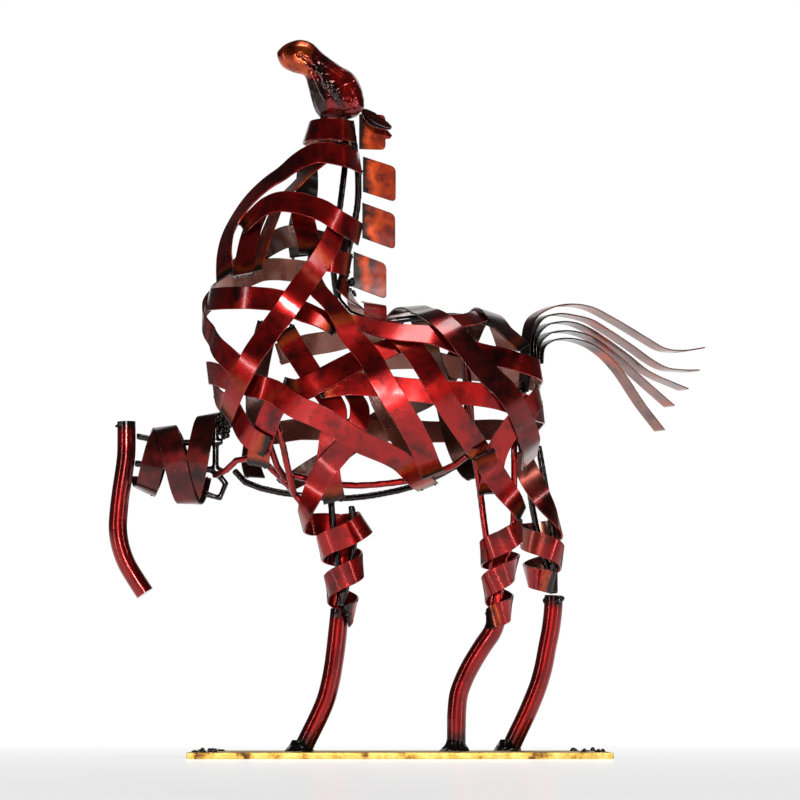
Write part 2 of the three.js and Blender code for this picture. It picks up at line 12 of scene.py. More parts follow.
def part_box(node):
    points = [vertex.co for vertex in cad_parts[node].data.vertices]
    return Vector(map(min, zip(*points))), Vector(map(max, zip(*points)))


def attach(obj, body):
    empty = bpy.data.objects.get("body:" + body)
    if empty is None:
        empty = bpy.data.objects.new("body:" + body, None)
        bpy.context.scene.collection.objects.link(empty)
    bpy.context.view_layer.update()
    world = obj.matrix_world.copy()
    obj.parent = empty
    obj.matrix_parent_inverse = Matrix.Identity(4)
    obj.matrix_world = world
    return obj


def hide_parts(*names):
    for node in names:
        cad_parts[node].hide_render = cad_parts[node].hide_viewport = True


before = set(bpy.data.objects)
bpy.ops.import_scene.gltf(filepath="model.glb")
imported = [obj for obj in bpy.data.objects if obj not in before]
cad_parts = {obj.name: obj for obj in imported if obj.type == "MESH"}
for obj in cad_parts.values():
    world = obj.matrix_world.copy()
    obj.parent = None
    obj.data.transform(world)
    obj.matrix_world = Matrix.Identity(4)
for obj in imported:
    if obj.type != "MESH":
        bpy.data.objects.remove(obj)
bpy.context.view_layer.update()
mm = 0.001


def linear(hexColour):  # "8e0f12" as the linear colour that a socket takes
    parts = [int(hexColour[i:i + 2], 16) / 255 for i in (0, 2, 4)]
    return [c / 12.92 if c <= 0.04045 else ((c + 0.055) / 1.055) ** 2.4 for c in parts] + [1]


def addNode(tree, kind, inputs=None, **settings):
    made = tree.nodes.new(kind)
    for key, value in settings.items():
        setattr(made, key, value)
    for key, value in (inputs or {}).items():
        if isinstance(value, bpy.types.NodeSocket):
            tree.links.new(value, made.inputs[key])
        else:
            made.inputs[key].default_value = value
    return made


def rampNode(tree, factor, stops):  # stops are (place, hex colour)
    ramp = addNode(tree, "ShaderNodeValToRGB", {"Fac": factor})
    elements = ramp.color_ramp.elements
    while len(elements) < len(stops):
        elements.new(0.5)
    for element, (place, colour) in zip(elements, stops):
        element.position = place
        element.color = linear(colour)
    return ramp.outputs["Color"]


def smooth01(value):
    value = min(1, max(0, value))
    return value * value * (3 - 2 * value)


def bump01(value, middle, reach):  # 1 at the middle, easing to 0 at the reach
    return smooth01(1 - abs(value - middle) / reach)


def placed(name, data):
    made = bpy.data.objects.new(name, data)
    bpy.context.collection.objects.link(made)
    return made


def applied(piece):  # the modifiers' result kept as a plain mesh
    view = bpy.context.evaluated_depsgraph_get()
    view.update()
    fresh = bpy.data.meshes.new_from_object(piece.evaluated_get(view), depsgraph=view)
    piece.modifiers.clear()
    piece.data = fresh
    return piece


def onlyMaterial(piece, material):
    piece.data.materials.clear()
    piece.data.materials.append(material)


lacquerLook = {
    "mottleSize": 15 * mm,      # patches left by the torch
    "speckleSize": 0.9 * mm,    # orange peel of the sprayed lacquer, drawn a little coarse so it shows
    "speckleHeight": 0.035 * mm,
    "dentSize": 9 * mm,         # hammer and pliers marks
    "dentHeight": 0.10 * mm,
}


def lacqueredSteel(name, stops, inner, glowColour="a83a10", metallic=0.9, roughness=0.26, coat=0.65,
                   mottle=1.0):
    # Clear red lacquer sprayed on torch-burnt steel: the eye sees deep candy red with soft
    # whitish highlights that break up into speckles, orange then sooty black towards the welds.
    look = lacquerLook
    material = bpy.data.materials.new(name)
    material.use_nodes = True
    tree = material.node_tree
    shader = tree.nodes["Principled BSDF"]
    place = addNode(tree, "ShaderNodeTexCoord").outputs["Object"]
    mottles = addNode(tree, "ShaderNodeTexNoise", {
        "Vector": place, "Scale": mottle / look["mottleSize"], "Detail": 5.0, "Roughness": 0.62})
    body = rampNode(tree, mottles.outputs["Fac"], stops)
    heat = addNode(tree, "ShaderNodeAttribute", attribute_name="scorch").outputs["Fac"]
    drift = addNode(tree, "ShaderNodeMath", {0: mottles.outputs["Fac"], 1: 0.5}, operation="SUBTRACT")
    burnt = addNode(tree, "ShaderNodeMath", {0: drift.outputs[0], 1: 0.9, 2: heat},
                    operation="MULTIPLY_ADD", use_clamp=True)
    glow = rampNode(tree, burnt.outputs[0], [(0.0, "000000"), (0.30, "000000"), (0.52, "ffffff")])
    warm = addNode(tree, "ShaderNodeMix", {"Factor": glow, "A": body, "B": linear(glowColour)},
                   data_type="RGBA")
    soot = rampNode(tree, burnt.outputs[0], [(0.0, "000000"), (0.55, "000000"), (0.85, "ffffff")])
    sooty = addNode(tree, "ShaderNodeMix", {"Factor": soot, "A": warm.outputs["Result"],
                    "B": linear("1c0b08")}, data_type="RGBA")
    # On the strips the inner share marks faces that look into the body's hollow. The inner colour put there
    # is painted light: it stands in for the light those faces catch. On the head the same share carries
    # weld soot and the dark jaw.
    inside = addNode(tree, "ShaderNodeAttribute", attribute_name="inner").outputs["Fac"]
    colour = addNode(tree, "ShaderNodeMix", {"Factor": inside, "A": sooty.outputs["Result"],
                     "B": linear(inner)}, data_type="RGBA")
    speckle = addNode(tree, "ShaderNodeTexNoise", {
        "Vector": place, "Scale": 1 / look["speckleSize"], "Detail": 2.0})
    dents = addNode(tree, "ShaderNodeTexNoise", {
        "Vector": place, "Scale": 1 / look["dentSize"], "Detail": 1.0})
    coarse = addNode(tree, "ShaderNodeBump", {
        "Height": dents.outputs["Fac"], "Distance": look["dentHeight"], "Strength": 1.0})
    fine = addNode(tree, "ShaderNodeBump", {
        "Height": speckle.outputs["Fac"], "Distance": look["speckleHeight"], "Strength": 1.0,
        "Normal": coarse.outputs["Normal"]})
    rough = addNode(tree, "ShaderNodeMapRange", {
        "Value": mottles.outputs["Fac"], "From Min": 0.3, "From Max": 0.7,
        "To Min": roughness - 0.06, "To Max": roughness + 0.10})
    for socket, value in [("Base Color", colour.outputs["Result"]), ("Normal", fine.outputs["Normal"]),
                          ("Coat Normal", coarse.outputs["Normal"]), ("Roughness", rough.outputs[0])]:
        tree.links.new(value, shader.inputs[socket])
    shader.inputs["Metallic"].default_value = metallic
    shader.inputs["Coat Weight"].default_value = coat
    shader.inputs["Coat Roughness"].default_value = 0.12
    return material


def brassPlate(name):
    # Brass-coloured sheet with brown and black stains of flame and flux in patches.
    material = bpy.data.materials.new(name)
    material.use_nodes = True
    tree = material.node_tree
    shader = tree.nodes["Principled BSDF"]
    place = addNode(tree, "ShaderNodeTexCoord").outputs["Object"]
    stains = addNode(tree, "ShaderNodeTexNoise", {
        "Vector": place, "Scale": 1 / (11 * mm), "Detail": 6.0, "Roughness": 0.7})
    colour = rampNode(tree, stains.outputs["Fac"], [
        (0.30, "2c1c0c"), (0.38, "7a5220"), (0.45, "cfa245"), (0.60, "f0d27a"), (0.72, "a8742c")])
    grain = addNode(tree, "ShaderNodeTexNoise", {"Vector": place, "Scale": 1 / (0.8 * mm)})
    relief = addNode(tree, "ShaderNodeBump", {"Height": grain.outputs["Fac"], "Distance": 0.04 * mm})
    tree.links.new(colour, shader.inputs["Base Color"])
    tree.links.new(relief.outputs["Normal"], shader.inputs["Normal"])
    shader.inputs["Metallic"].default_value = 0.85
    shader.inputs["Roughness"].default_value = 0.34
    return material


# Most strips: deep blood red, mottled darker. Their faces that look into the hollow take a dull pinkish
# brown, which is painted reflection of the front light.
candyRed = lacqueredSteel("candy_lacquer_on_steel", [
    (0.30, "3c0403"), (0.42, "7e0605"), (0.56, "a40a07"), (0.74, "860e09")], "8e584a")
# The leg bars: an evener, darker red that ends in soot without passing through orange.
barRed = lacqueredSteel("candy_lacquer_on_bright_bar", [
    (0.25, "4c0403"), (0.50, "8a0806"), (0.75, "a00e08")], "6a3a30", glowColour="520b06", mottle=0.6)
# The head: red that glows copper orange at the muzzle and sinks to near black at the welds.
headRed = lacqueredSteel("candy_lacquer_on_forged_head", [
    (0.30, "2a0303"), (0.45, "780706"), (0.60, "a00b07")], "1a0b09", glowColour="c4520f", mottle=1.6)
# Back, croup and far strips: brownish red, as if the flame had stayed longer. On the far strips, which the
# lamps reach less, this darker red is painted shade.
umberRed = lacqueredSteel("darker_candy_lacquer_and_painted_shade", [
    (0.30, "240806"), (0.46, "50100d"), (0.60, "741210"), (0.74, "5a1a12")], "4e2a20")
# Weld, feet and most wires: glossy near black.
sootBlack = lacqueredSteel("lacquer_on_black_scale", [
    (0.35, "0a0605"), (0.52, "180a09"), (0.70, "2e0d0b")], "1a0e0c", coat=0.8, roughness=0.28)
# Mane plates: mottled orange and dark brown, less glossy than the strips.
burntOrange = lacqueredSteel("lacquer_on_flame_coloured_steel", [
    (0.32, "1e0504"), (0.44, "5c1204"), (0.56, "8a2806"), (0.72, "b85808")], "7a2a10", coat=0.1,
    roughness=0.42, metallic=0.85, mottle=1.3)
# Tail: black at the dock, warmer at the tips; the mauve grey along the strips is painted reflection of the
# pale floor below.
tailSteel = lacqueredSteel("sooted_lacquer_and_painted_floor_reflection", [
    (0.30, "4a2c26"), (0.50, "8a625a"), (0.72, "a8604a")], "8d6a66", roughness=0.34)
brass = brassPlate("stained_brass_plate")
print("materials made")


stock = {
    "stripWide": 12.5,   # mm, as the solids are
    "stripThick": 1.0,
    "tailWide": 9.5,
    "tailThick": 0.8,
    "edgeRound": 0.32,
    "step": 2.0,         # mm between the rings of a finished strip
    "thickSlack": 0.06,  # how far a corner pair may be off the thickness, and a station off the width
    "wideSlack": 0.08,
    "bar": 10.0,
}


def mergedMesh(nodeName):
    made = bmesh.new()
    made.from_mesh(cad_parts[nodeName].data)
    bmesh.ops.remove_doubles(made, verts=made.verts, dist=0.01 * mm)
    made.verts.ensure_lookup_table()
    return made


def stripPath(nodeName, wide, thick):
    # Every bend of a strip has four corners. Corners a thickness apart pair up over the edge, and
    # two such pairs a width apart make one station. Stations that share an edge are neighbours.
    made = mergedMesh(nodeName)
    spots = np.array([v.co[:] for v in made.verts]) / mm
    links = [(e.verts[0].index, e.verts[1].index) for e in made.edges]
    made.free()
    partner = {}
    for a, b in sorted(links, key=lambda ab: abs(np.linalg.norm(spots[ab[0]] - spots[ab[1]]) - thick)):
        apart = np.linalg.norm(spots[a] - spots[b])
        if abs(apart - thick) < stock["thickSlack"] and a not in partner and b not in partner:
            partner[a] = b
            partner[b] = a
    pairs = sorted({tuple(sorted(ab)) for ab in partner.items()})
    pairOf = {v: i for i, pair in enumerate(pairs) for v in pair}
    middle = np.array([(spots[a] + spots[b]) / 2 for a, b in pairs])
    joined = {tuple(sorted((pairOf[a], pairOf[b]))) for a, b in links
              if a in pairOf and b in pairOf and pairOf[a] != pairOf[b]}
    ranked = sorted(joined, key=lambda ij: abs(np.linalg.norm(middle[ij[0]] - middle[ij[1]]) - wide))
    mate = {}
    for i, j in ranked:
        apart = np.linalg.norm(middle[i] - middle[j])
        if abs(apart - wide) < stock["wideSlack"] and i not in mate and j not in mate:
            mate[i] = j
            mate[j] = i
    stations = sorted({tuple(sorted(ij)) for ij in mate.items()})
    stationOf = {i: s for s, station in enumerate(stations) for i in station}
    near = {s: set() for s in range(len(stations))}
    for i, j in joined:
        if i in stationOf and j in stationOf and stationOf[i] != stationOf[j]:
            near[stationOf[i]].add(stationOf[j])
            near[stationOf[j]].add(stationOf[i])
    end = min(near, key=lambda s: (len(near[s]), s))
    order = [end]
    while True:
        onward = [s for s in near[order[-1]] if s not in order]
        if not onward:
            break
        here = middle[list(stations[order[-1]])].mean(axis=0)
        order.append(min(onward, key=lambda s: np.linalg.norm(
            middle[list(stations[s])].mean(axis=0) - here)))
    centres, flats = [], []
    for s in order:
        i, j = stations[s]
        across = middle[j] - middle[i]
        over = spots[pairs[i][0]] - spots[pairs[i][1]]
        over = over - across * over.dot(across) / across.dot(across)
        over = over / np.linalg.norm(over)
        if flats and over.dot(flats[-1]) < 0:
            over = -over
        centres.append((middle[i] + middle[j]) / 2)
        flats.append(over)
    return np.array(centres), np.array(flats), len(stations)


def barPath(nodeName, sides):
    # Rings are read from the free top end downwards, for as long as they have every corner.
    made = mergedMesh(nodeName)
    top = max(made.verts, key=lambda v: v.co.z)
    cap = [v for v in made.verts if (v.co - top.co).length < 11 * mm and len(v.link_edges) > 0]
    start = sorted(cap, key=lambda v: -v.co.z)
    ring = set(start[:sides])
    seen = set(ring)
    centres = []
    while len(ring) == sides:
        inOrder = sorted((v.co for v in ring), key=tuple)  # so that every run rounds the same way
        centres.append(sum(inOrder, Vector()) / sides / mm)
        ring = {e.other_vert(v) for v in ring for e in v.link_edges} - seen
        seen |= ring
    made.free()
    return np.array([c[:] for c in centres])


def newTree(name, sizes):
    tree = bpy.data.node_groups.new(name, "GeometryNodeTree")
    tree.interface.new_socket("Geometry", in_out="INPUT", socket_type="NodeSocketGeometry")
    for title, kind in sizes:
        tree.interface.new_socket(title, in_out="INPUT", socket_type=kind)
    tree.interface.new_socket("Geometry", in_out="OUTPUT", socket_type="NodeSocketGeometry")
    return tree, tree.nodes.new("NodeGroupInput")


def endTree(tree, geometry, material):
    real = addNode(tree, "GeometryNodeRealizeInstances", {"Geometry": geometry})
    painted = addNode(tree, "GeometryNodeSetMaterial", {
        "Geometry": real.outputs["Geometry"], "Material": material})
    addNode(tree, "NodeGroupOutput", {"Geometry": painted.outputs["Geometry"]})
    return tree


def stripTree():  # a flat bar with rounded edges swept along a path, turned by the path's flatWay
    tree, given = newTree("bentStrip", [
        ("Width", "NodeSocketFloat"), ("Thickness", "NodeSocketFloat"), ("Edge Round", "NodeSocketFloat"),
        ("Step", "NodeSocketFloat"), ("Material", "NodeSocketMaterial")])
    size = given.outputs
    curve = addNode(tree, "GeometryNodeMeshToCurve", {"Mesh": size["Geometry"]})
    soft = addNode(tree, "GeometryNodeCurveSplineType", {"Curve": curve.outputs["Curve"]},
                   spline_type="CATMULL_ROM")
    even = addNode(tree, "GeometryNodeResampleCurve", {
        "Curve": soft.outputs["Curve"], "Length": size["Step"]}, mode="LENGTH")
    way = addNode(tree, "GeometryNodeInputNamedAttribute", {"Name": "flatWay"}, data_type="FLOAT_VECTOR")
    turned = addNode(tree, "GeometryNodeSetCurveNormal", {
        "Curve": even.outputs["Curve"], "Normal": way.outputs["Attribute"]}, mode="FREE")
    along = addNode(tree, "GeometryNodeSplineParameter")
    path = addNode(tree, "GeometryNodeCaptureAttribute", {"Geometry": turned.outputs["Curve"]})
    path.capture_items.new("FLOAT", "Along")
    tree.links.new(along.outputs["Length"], path.inputs["Along"])
    section = addNode(tree, "GeometryNodeCurvePrimitiveQuadrilateral", {
        "Width": size["Thickness"], "Height": size["Width"]})
    rounded = addNode(tree, "GeometryNodeFilletCurve", {
        "Curve": section.outputs["Curve"], "Count": 2, "Radius": size["Edge Round"]}, mode="POLY")
    aroundEdge = addNode(tree, "GeometryNodeCaptureAttribute", {"Geometry": rounded.outputs["Curve"]})
    aroundEdge.capture_items.new("FLOAT", "Round")
    tree.links.new(along.outputs["Length"], aroundEdge.inputs["Round"])
    swept = addNode(tree, "GeometryNodeCurveToMesh", {
        "Curve": path.outputs["Geometry"], "Profile Curve": aroundEdge.outputs["Geometry"],
        "Fill Caps": True})
    spread = addNode(tree, "ShaderNodeCombineXYZ", {
        "X": path.outputs["Along"], "Y": aroundEdge.outputs["Round"]})
    mapped = addNode(tree, "GeometryNodeStoreNamedAttribute", {
        "Geometry": swept.outputs["Mesh"], "Name": "UVMap", "Value": spread.outputs["Vector"]},
        data_type="FLOAT2", domain="CORNER")
    shaded = addNode(tree, "GeometryNodeSetShadeSmooth", {"Geometry": mapped.outputs["Geometry"]})
    return endTree(tree, shaded.outputs["Geometry"], size["Material"])


def barTree():  # round stock swept along a path, a little uneven from the hammer
    tree, given = newTree("bentBar", [
        ("Diameter", "NodeSocketFloat"), ("Step", "NodeSocketFloat"), ("Unevenness", "NodeSocketFloat"),
        ("Material", "NodeSocketMaterial")])
    size = given.outputs
    curve = addNode(tree, "GeometryNodeMeshToCurve", {"Mesh": size["Geometry"]})
    soft = addNode(tree, "GeometryNodeCurveSplineType", {"Curve": curve.outputs["Curve"]},
                   spline_type="CATMULL_ROM")
    even = addNode(tree, "GeometryNodeResampleCurve", {
        "Curve": soft.outputs["Curve"], "Length": size["Step"]}, mode="LENGTH")
    radius = addNode(tree, "ShaderNodeMath", {0: size["Diameter"], 1: 0.5}, operation="MULTIPLY")
    section = addNode(tree, "GeometryNodeCurvePrimitiveCircle", {
        "Resolution": 28, "Radius": radius.outputs[0]})
    swept = addNode(tree, "GeometryNodeCurveToMesh", {
        "Curve": even.outputs["Curve"], "Profile Curve": section.outputs["Curve"], "Fill Caps": True})
    wave = addNode(tree, "ShaderNodeTexNoise", {"Scale": 1 / (16 * mm), "Detail": 1.0})
    centred = addNode(tree, "ShaderNodeMath", {0: wave.outputs["Fac"], 1: 0.5}, operation="SUBTRACT")
    lift = addNode(tree, "ShaderNodeMath", {0: centred.outputs[0], 1: size["Unevenness"]},
                   operation="MULTIPLY")
    out = addNode(tree, "GeometryNodeInputNormal")
    push = addNode(tree, "ShaderNodeVectorMath", {0: out.outputs["Normal"], "Scale": lift.outputs[0]},
                   operation="SCALE")
    moved = addNode(tree, "GeometryNodeSetPosition", {
        "Geometry": swept.outputs["Mesh"], "Offset": push.outputs["Vector"]})
    shaded = addNode(tree, "GeometryNodeSetShadeSmooth", {"Geometry": moved.outputs["Geometry"]})
    return endTree(tree, shaded.outputs["Geometry"], size["Material"])


def beadTree():  # lumps of weld at points, each turned and stretched its own way
    tree, given = newTree("weldBeads", [
        ("Bead Radius", "NodeSocketFloat"), ("Roughness", "NodeSocketFloat"), ("Seed", "NodeSocketInt"),
        ("Material", "NodeSocketMaterial")])
    size = given.outputs
    lump = addNode(tree, "GeometryNodeMeshIcoSphere", {"Radius": size["Bead Radius"], "Subdivisions": 3})
    turn = addNode(tree, "FunctionNodeRandomValue", {"Max": (6.28, 6.28, 6.28), "Seed": size["Seed"]},
                   data_type="FLOAT_VECTOR")
    stretch = addNode(tree, "FunctionNodeRandomValue", {
        "Min": (0.7, 0.6, 0.45), "Max": (1.3, 1.0, 0.8), "Seed": size["Seed"]},
        data_type="FLOAT_VECTOR")
    bulk = addNode(tree, "GeometryNodeInputNamedAttribute", {"Name": "bulk"}, data_type="FLOAT")
    scale = addNode(tree, "ShaderNodeVectorMath", {
        0: stretch.outputs["Value"], "Scale": bulk.outputs["Attribute"]}, operation="SCALE")
    points = addNode(tree, "GeometryNodeMeshToPoints", {"Mesh": size["Geometry"]})
    beads = addNode(tree, "GeometryNodeInstanceOnPoints", {
        "Points": points.outputs["Points"], "Instance": lump.outputs["Mesh"],
        "Rotation": turn.outputs["Value"], "Scale": scale.outputs["Vector"]})
    real = addNode(tree, "GeometryNodeRealizeInstances", {"Geometry": beads.outputs["Instances"]})
    crust = addNode(tree, "ShaderNodeTexNoise", {"Scale": 1 / (1.8 * mm), "Detail": 2.0})
    centred = addNode(tree, "ShaderNodeMath", {0: crust.outputs["Fac"], 1: 0.5}, operation="SUBTRACT")
    lift = addNode(tree, "ShaderNodeMath", {0: centred.outputs[0], 1: size["Roughness"]},
                   operation="MULTIPLY")
    out = addNode(tree, "GeometryNodeInputNormal")
    push = addNode(tree, "ShaderNodeVectorMath", {0: out.outputs["Normal"], "Scale": lift.outputs[0]},
                   operation="SCALE")
    moved = addNode(tree, "GeometryNodeSetPosition", {
        "Geometry": real.outputs["Geometry"], "Offset": push.outputs["Vector"]})
    shaded = addNode(tree, "GeometryNodeSetShadeSmooth", {"Geometry": moved.outputs["Geometry"]})
    return endTree(tree, shaded.outputs["Geometry"], size["Material"])


def pathObject(name, points, attributes, closed=False):  # points in mm
    mesh = bpy.data.meshes.new(name)
    edges = [(i, i + 1) for i in range(len(points) - 1)] if not closed else []
    mesh.from_pydata([tuple(p * mm) for p in np.asarray(points)], edges, [])
    for title, (kind, values) in attributes.items():
        layer = mesh.attributes.new(title, kind, "POINT")
        layer.data.foreach_set("vector" if kind == "FLOAT_VECTOR" else "value",
                               np.asarray(values, dtype=np.float32).ravel())
    return placed(name, mesh)


def grown(source, tree, sizes, evenShading=False):  # runs the tree and keeps the result as a plain mesh
    modifier = source.modifiers.new("nodes", "NODES")
    modifier.node_group = tree
    for item in tree.interface.items_tree:
        if item.in_out == "INPUT" and item.name in sizes:
            modifier[item.identifier] = sizes[item.name]
    if evenShading:
        source.modifiers.new("shading", "WEIGHTED_NORMAL").weight = 100
    return applied(source)


def finished(piece, slotName, *nodes):
    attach(piece, "root")
    if nodes:
        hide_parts(*nodes)
    return piece


def keepFloat(piece, title, values):
    layer = piece.data.attributes.new(title, "FLOAT", "POINT")
    layer.data.foreach_set("value", np.asarray(values, dtype=np.float32))


skinOf = {  # the strips with a finish of their own; all others are candy red
    # The throat strip, which lies in shadow under the neck, is painted near black: painted shade.
    "throat_strip": (sootBlack, "soot_black_lacquer"),
    # The far strips take the darker umber red as painted shade.
    "far_breast_strip": (umberRed, "umber_lacquer"),
    "far_loin_strip": (umberRed, "umber_lacquer"),
    "far_neck_strip": (umberRed, "umber_lacquer"),
    "back_strip": (umberRed, "umber_lacquer"),
    "croup_strip": (umberRed, "umber_lacquer"),
    "neck_brace_strip": (burntOrange, "burnt_orange_lacquer"),
    "forearm_wrap_outer": (umberRed, "red_lacquer"),
    "forearm_wrap_cross": (umberRed, "red_lacquer"),
}
heatLook = {
    "endReach": 13.0,    # mm of orange and soot at a welded end
    "weldReach": 8.0,
    "crossingShare": 0.35,
    "seed": 7,
}


def hollowMiddle(spots):  # the middle of the hollow that a point of the body lies round, in mm
    x, z = spots[:, 0], spots[:, 2]
    neck = np.clip((z - 235) / 30, 0, 1)
    middle = np.zeros_like(spots)
    middle[:, 0] = np.clip(x, -75, 52) * (1 - neck) + (-60 + 0.25 * (z - 260)) * neck
    middle[:, 2] = np.clip(z, 180, 212) * (1 - neck) + z * neck
    return middle


def innerShare(piece):  # 1 on faces that look into the hollow
    count = len(piece.data.vertices)
    spots = np.empty(count * 3)
    ways = np.empty(count * 3)
    piece.data.vertices.foreach_get("co", spots)
    piece.data.vertices.foreach_get("normal", ways)
    spots = spots.reshape(-1, 3) / mm
    ways = ways.reshape(-1, 3)
    inward = hollowMiddle(spots) - spots
    inward /= np.linalg.norm(inward, axis=1)[:, None] + 1e-9
    return np.clip((inward * ways).sum(axis=1) * 2.2, 0, 1)


tailLook = {"sootReach": 80.0, "tipGlow": 30.0}  # mm from the root, mm from the tip

random.seed(heatLook["seed"])
stripNames = sorted(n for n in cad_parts
                    if "strip" in n or "wrap" in n or n in ("collar", "chest_band"))
paths = {}
for nodeName in stripNames:
    isTail = nodeName.startswith("tail")
    wide = stock["tailWide"] if isTail else stock["stripWide"]
    thick = stock["tailThick"] if isTail else stock["stripThick"]
    centres, flats, count = stripPath(nodeName, wide, thick)
    if len(centres) < count:
        print("path broken:", nodeName, len(centres), "of", count)
    paths[nodeName] = (centres, flats)
print("paths read:", len(paths))

crossings = kdtree.KDTree(sum(len(c) for c, _ in paths.values()))
owners = []
for nodeName, (centres, _) in paths.items():
    for centre in centres:
        crossings.insert(centre, len(owners))
        owners.append(nodeName)
crossings.balance()

beads = []  # (place in mm, bulk)
for nodeName, (centres, flats) in paths.items():
    if nodeName.startswith("tail"):
        continue
    for i in (0, -1):
        along = centres[i] - centres[1 if i == 0 else -2]
        across = np.cross(along, flats[i])
        across = across / np.linalg.norm(across)
        for part in (-0.36, 0.3):
            if random.random() < 0.6:
                beads.append((centres[i] + across * part * stock["stripWide"], random.uniform(0.4, 0.85)))
    for i in range(1, len(centres) - 1):
        for spot, index, distance in crossings.find_range(centres[i], 4.2):
            if owners[index] > nodeName and random.random() < heatLook["crossingShare"]:
                between = (centres[i] + np.array(spot[:])) / 2
                across = np.cross(centres[i + 1] - centres[i], flats[i])
                across = across / np.linalg.norm(across)
                beads.append((between + across * random.choice((-5.6, 5.6)), random.uniform(0.45, 0.85)))
beadPlaces = kdtree.KDTree(len(beads))
for i, (spot, _) in enumerate(beads):
    beadPlaces.insert(spot, i)
beadPlaces.balance()

bentStrip = stripTree()
for nodeName, (centres, flats) in paths.items():
    isTail = nodeName.startswith("tail")
    runs = np.concatenate([[0], np.cumsum(np.linalg.norm(np.diff(centres, axis=0), axis=1))])
    if isTail:
        fromRoot = runs if centres[0][0] < centres[-1][0] else runs[-1] - runs
        heat = [max(smooth01(1.25 - run / tailLook["sootReach"]),
                    0.42 * smooth01(1 - (runs[-1] - run) / tailLook["tipGlow"])) for run in fromRoot]
    else:
        fromEnd = np.minimum(runs, runs[-1] - runs)
        heat = [max(smooth01(1 - far / heatLook["endReach"]),
                    0.8 * smooth01(1 - beadPlaces.find(c)[2] / heatLook["weldReach"]))
                for far, c in zip(fromEnd, centres)]
    material, slotName = skinOf.get(nodeName, (candyRed, "red_lacquer"))
    if isTail:
        material, slotName = tailSteel, "soot_black_lacquer"
    piece = pathObject(nodeName + "_look", centres, {
        "flatWay": ("FLOAT_VECTOR", flats), "scorch": ("FLOAT", heat)})
    grown(piece, bentStrip, {
        "Width": (stock["tailWide"] if isTail else stock["stripWide"]) * mm,
        "Thickness": (stock["tailThick"] if isTail else stock["stripThick"]) * mm,
        "Edge Round": stock["edgeRound"] * mm, "Step": stock["step"] * mm, "Material": material},
        evenShading=True)
    if not isTail:
        # Faces that look into the hollow get the material's inner colour, which is painted light on those
        # faces.
        keepFloat(piece, "inner", innerShare(piece))
    finished(piece, slotName, nodeName)
print("strips made:", len(paths))


barLook = {"unevenness": 0.3, "step": 2.0, "footHeight": 6.0, "footRadius": 7.8,
           "footTop": 5.0, "footLumps": 0.28}

bentBar = barTree()
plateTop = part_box("base_plate")[1][2] / mm
barNames = [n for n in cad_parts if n.endswith("_bar")]
feet, tops = [], []
for nodeName in barNames:
    centres = barPath(nodeName, 10)
    tops.append(centres[0])
    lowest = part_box(nodeName)[0][2] / mm
    standing = lowest < plateTop + 1
    if standing:  # on down to the plate, in line with the last bend
        end = centres[-1]
        slope = end - centres[-2]
        foot = end + slope * (end[2] - plateTop - 0.3) / -slope[2]
        centres = np.vstack([centres, foot])
        feet.append(foot)
    low, high = centres[-1][2], centres[0][2]
    heat = [max(bump01(c[2], high, 9), bump01(c[2], low, 17) if standing else 0) for c in centres]
    piece = pathObject(nodeName + "_look", centres, {"scorch": ("FLOAT", heat)})
    grown(piece, bentBar, {"Diameter": stock["bar"] * mm, "Step": barLook["step"] * mm,
                           "Unevenness": barLook["unevenness"] * mm, "Material": barRed})
    finished(piece, "red_lacquer", nodeName)


def roundedCopy(nodeName, voxel, passes):  # the solid remeshed finely and eased, so sharp sides go round
    made = mergedMesh(nodeName)
    mesh = bpy.data.meshes.new(nodeName + "_look")
    made.to_mesh(mesh)
    made.free()
    piece = placed(nodeName + "_look", mesh)
    remesh = piece.modifiers.new("remesh", "REMESH")
    remesh.mode = "VOXEL"
    remesh.voxel_size = voxel * mm
    ease = piece.modifiers.new("ease", "SMOOTH")
    ease.factor = 0.5
    ease.iterations = passes
    for face in applied(piece).data.polygons:
        face.use_smooth = True
    return piece


wireSkins = {
    "crest_and_spine_wires": (sootBlack, "soot_black_lacquer"),
    "far_belly_wire": (sootBlack, "soot_black_lacquer"),
    "near_foreleg_wires": (sootBlack, "soot_black_lacquer"),
    "far_hind_leg_wires": (sootBlack, "soot_black_lacquer"),
    "raised_foreleg_wires": (sootBlack, "soot_black_lacquer"),
    "hip_hoop_wire": (umberRed, "umber_lacquer"),
}
for nodeName in [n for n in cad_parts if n.endswith("_wire") or n.endswith("_wires")]:
    material, slotName = wireSkins.get(nodeName, (candyRed, "red_lacquer"))
    piece = roundedCopy(nodeName, 0.7, 4)
    onlyMaterial(piece, material)
    finished(piece, slotName, nodeName)
print("bars and wires made")


def weldFoot(name, foot):  # a spread lump of dark weld round the end of a bar
    look = barLook
    rings, sides = 12, 40
    verts, faces = [], []
    for i in range(rings + 1):
        up = i / rings
        radius = look["footTop"] + (look["footRadius"] - look["footTop"]) * (1 - up) ** 1.8
        for j in range(sides):
            turn = 2 * math.pi * j / sides
            spot = Vector((math.cos(turn) * radius, math.sin(turn) * radius, up * look["footHeight"]))
            fine = look["footLumps"]
            lump = noise.noise(Vector((spot.x * fine + foot[0], spot.y * fine, spot.z * 0.3)))
            reach = 1 + 0.16 * lump * (1 - up * 0.4)
            verts.append(((foot[0] + spot.x * reach - 1.2 * (1 - up)) * mm, (foot[1] + spot.y * reach) * mm,
                          (foot[2] + spot.z + (0.5 * lump if 0 < i < rings else 0)) * mm))
    for i in range(rings):
        for j in range(sides):
            a, b = i * sides + j, i * sides + (j + 1) % sides
            faces.append((a, b, b + sides, a + sides))
    faces.append(tuple(reversed(range(sides))))
    faces.append(tuple(range(rings * sides, (rings + 1) * sides)))
    mesh = bpy.data.meshes.new(name)
    mesh.from_pydata(verts, [], faces)
    for face in mesh.polygons:
        face.use_smooth = len(face.vertices) == 4
    mesh.materials.append(sootBlack)
    return finished(placed(name, mesh), "soot_black_lacquer")


for i, foot in enumerate(feet):
    weldFoot(f"foot_weld_{i + 1}", foot)


